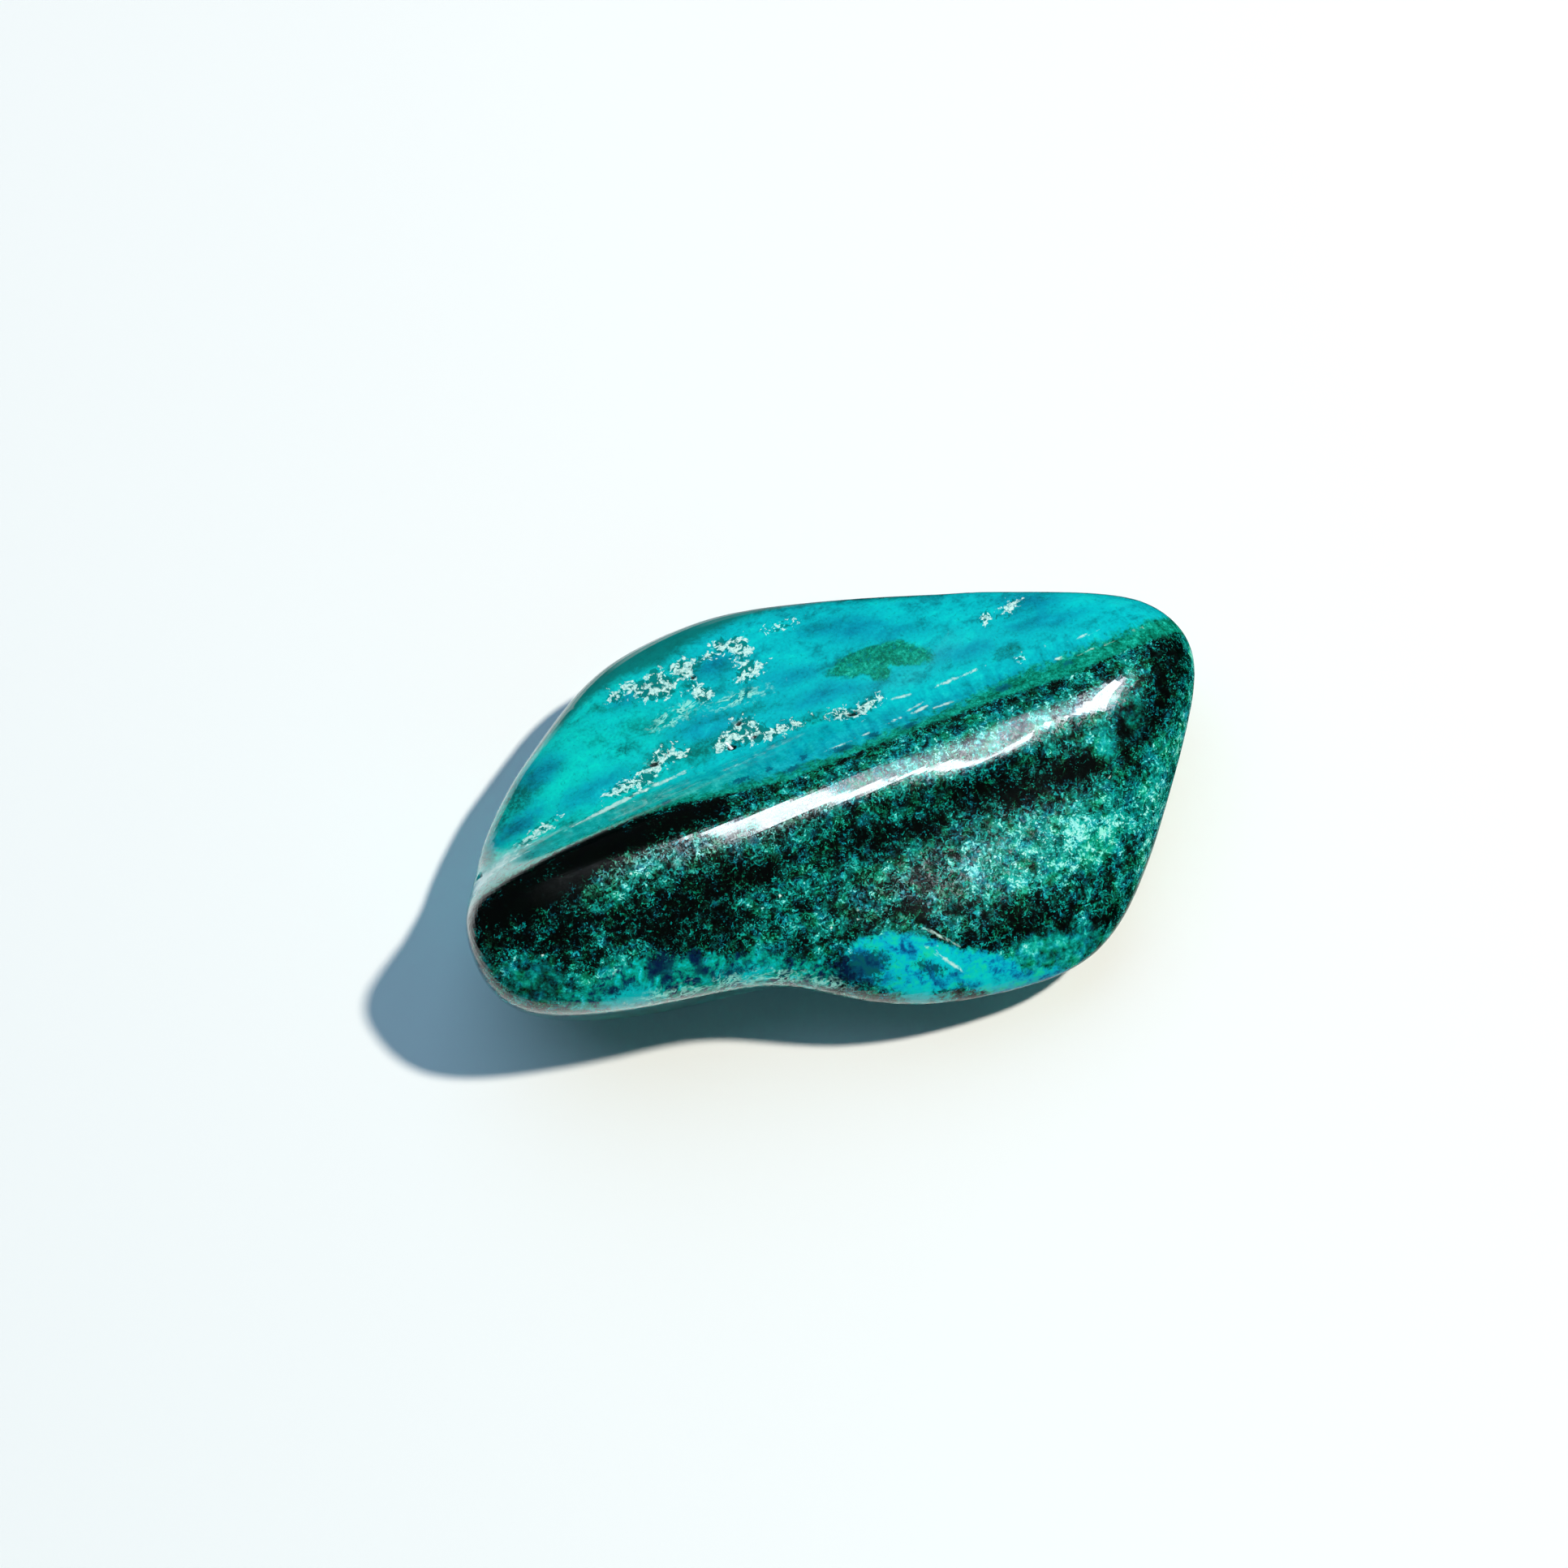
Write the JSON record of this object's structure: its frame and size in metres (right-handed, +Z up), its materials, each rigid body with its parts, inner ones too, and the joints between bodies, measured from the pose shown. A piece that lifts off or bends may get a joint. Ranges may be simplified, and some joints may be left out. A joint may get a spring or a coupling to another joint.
{
  "type": "polished chrysocolla stone",
  "caption": "Tumble-polished chrysocolla and malachite stone, a ridged turquoise and dark green pebble lying on its flattest face.",
  "frame": {"origin": "middle of the stone's box, on the surface that it rests on", "axes": "+X along the ridge from its high end to its low end, +Y towards the turquoise shelf behind the ridge, +Z up"},
  "size_m": [0.0474, 0.029, 0.0128],
  "materials": {
    "polished_stone": "tumble-polished chrysocolla in turquoise and blue with bands and grains of dark green malachite, glossy"
  },
  "bodies": {
    "root": {"stone": "polished_stone"}
  },
  "joints": []
}
